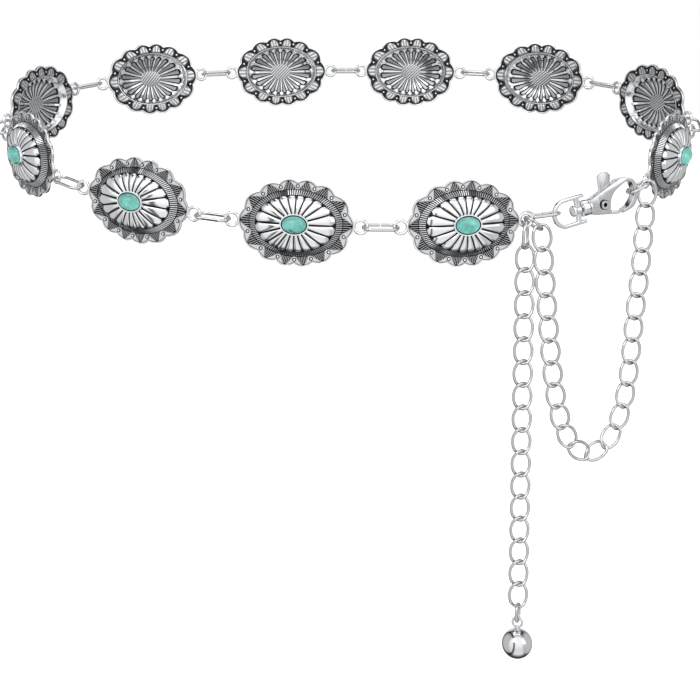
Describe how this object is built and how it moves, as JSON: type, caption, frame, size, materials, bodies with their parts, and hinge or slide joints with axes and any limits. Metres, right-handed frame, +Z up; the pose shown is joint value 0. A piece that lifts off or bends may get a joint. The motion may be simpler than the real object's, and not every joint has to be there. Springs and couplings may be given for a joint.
{
  "type": "western concho chain belt",
  "caption": "Silver chain belt of scalloped oval conchos, each with a turquoise stone, closed by a swivel snap hook, with a draped curb chain and a hanging tail with a ball.",
  "frame": {"origin": "centre of the waist opening, half way between the front and the back conchos", "axes": "+Z up, -Y to the front of the wearer, +X to the side where the hook closes"},
  "size_m": [0.309, 0.1789, 0.2558],
  "materials": {
    "cast_silver": "bright silver plate with dark antiquing in the grooves",
    "silver_wire": "bright silver plate",
    "polished_silver": "mirror-bright silver plate",
    "stone": "glossy turquoise green with a fine dark vein"
  },
  "bodies": {
    "root": {"concho_01": "cast_silver", "concho_02": "cast_silver", "concho_03": "cast_silver", "concho_04": "cast_silver", "concho_05": "cast_silver", "concho_06": "cast_silver", "concho_07": "cast_silver", "concho_08": "cast_silver", "concho_09": "cast_silver", "concho_10": "cast_silver", "concho_11": "cast_silver", "stone_01": "stone", "stone_02": "stone", "stone_03": "stone", "stone_04": "stone", "stone_05": "stone", "stone_06": "stone", "stone_07": "stone", "stone_08": "stone", "stone_09": "stone", "stone_10": "stone", "stone_11": "stone", "link_01": "silver_wire", "link_02": "silver_wire", "link_03": "silver_wire", "link_04": "silver_wire", "link_05": "silver_wire", "link_06": "silver_wire", "link_07": "silver_wire", "link_08": "silver_wire", "link_09": "silver_wire", "link_10": "silver_wire", "clasp_link": "silver_wire", "jump_ring": "silver_wire", "chain_drape": "silver_wire", "chain_tail": "silver_wire", "d_ring": "polished_silver", "swivel_hook": "polished_silver", "rivet": "polished_silver"},
    "lever": {"lever": "polished_silver"},
    "ball": {"ball_drop": "polished_silver"}
  },
  "joints": [
    {"name": "lever_hinge", "type": "hinge", "parent": "root", "child": "lever", "pos_m": [0.10122, -0.05883, -0.02438], "axis": [0.4091, -0.9125, 0], "range_deg": [0, 25], "stiffness_Nm_per_rad": 0.04, "springref_deg": -17.19},
    {"name": "ball_swing", "type": "hinge", "parent": "root", "child": "ball", "pos_m": [0.06902, -0.07327, -0.1934], "axis": [0.3559, 0.9345, 0], "range_deg": [-40, 40]}
  ]
}
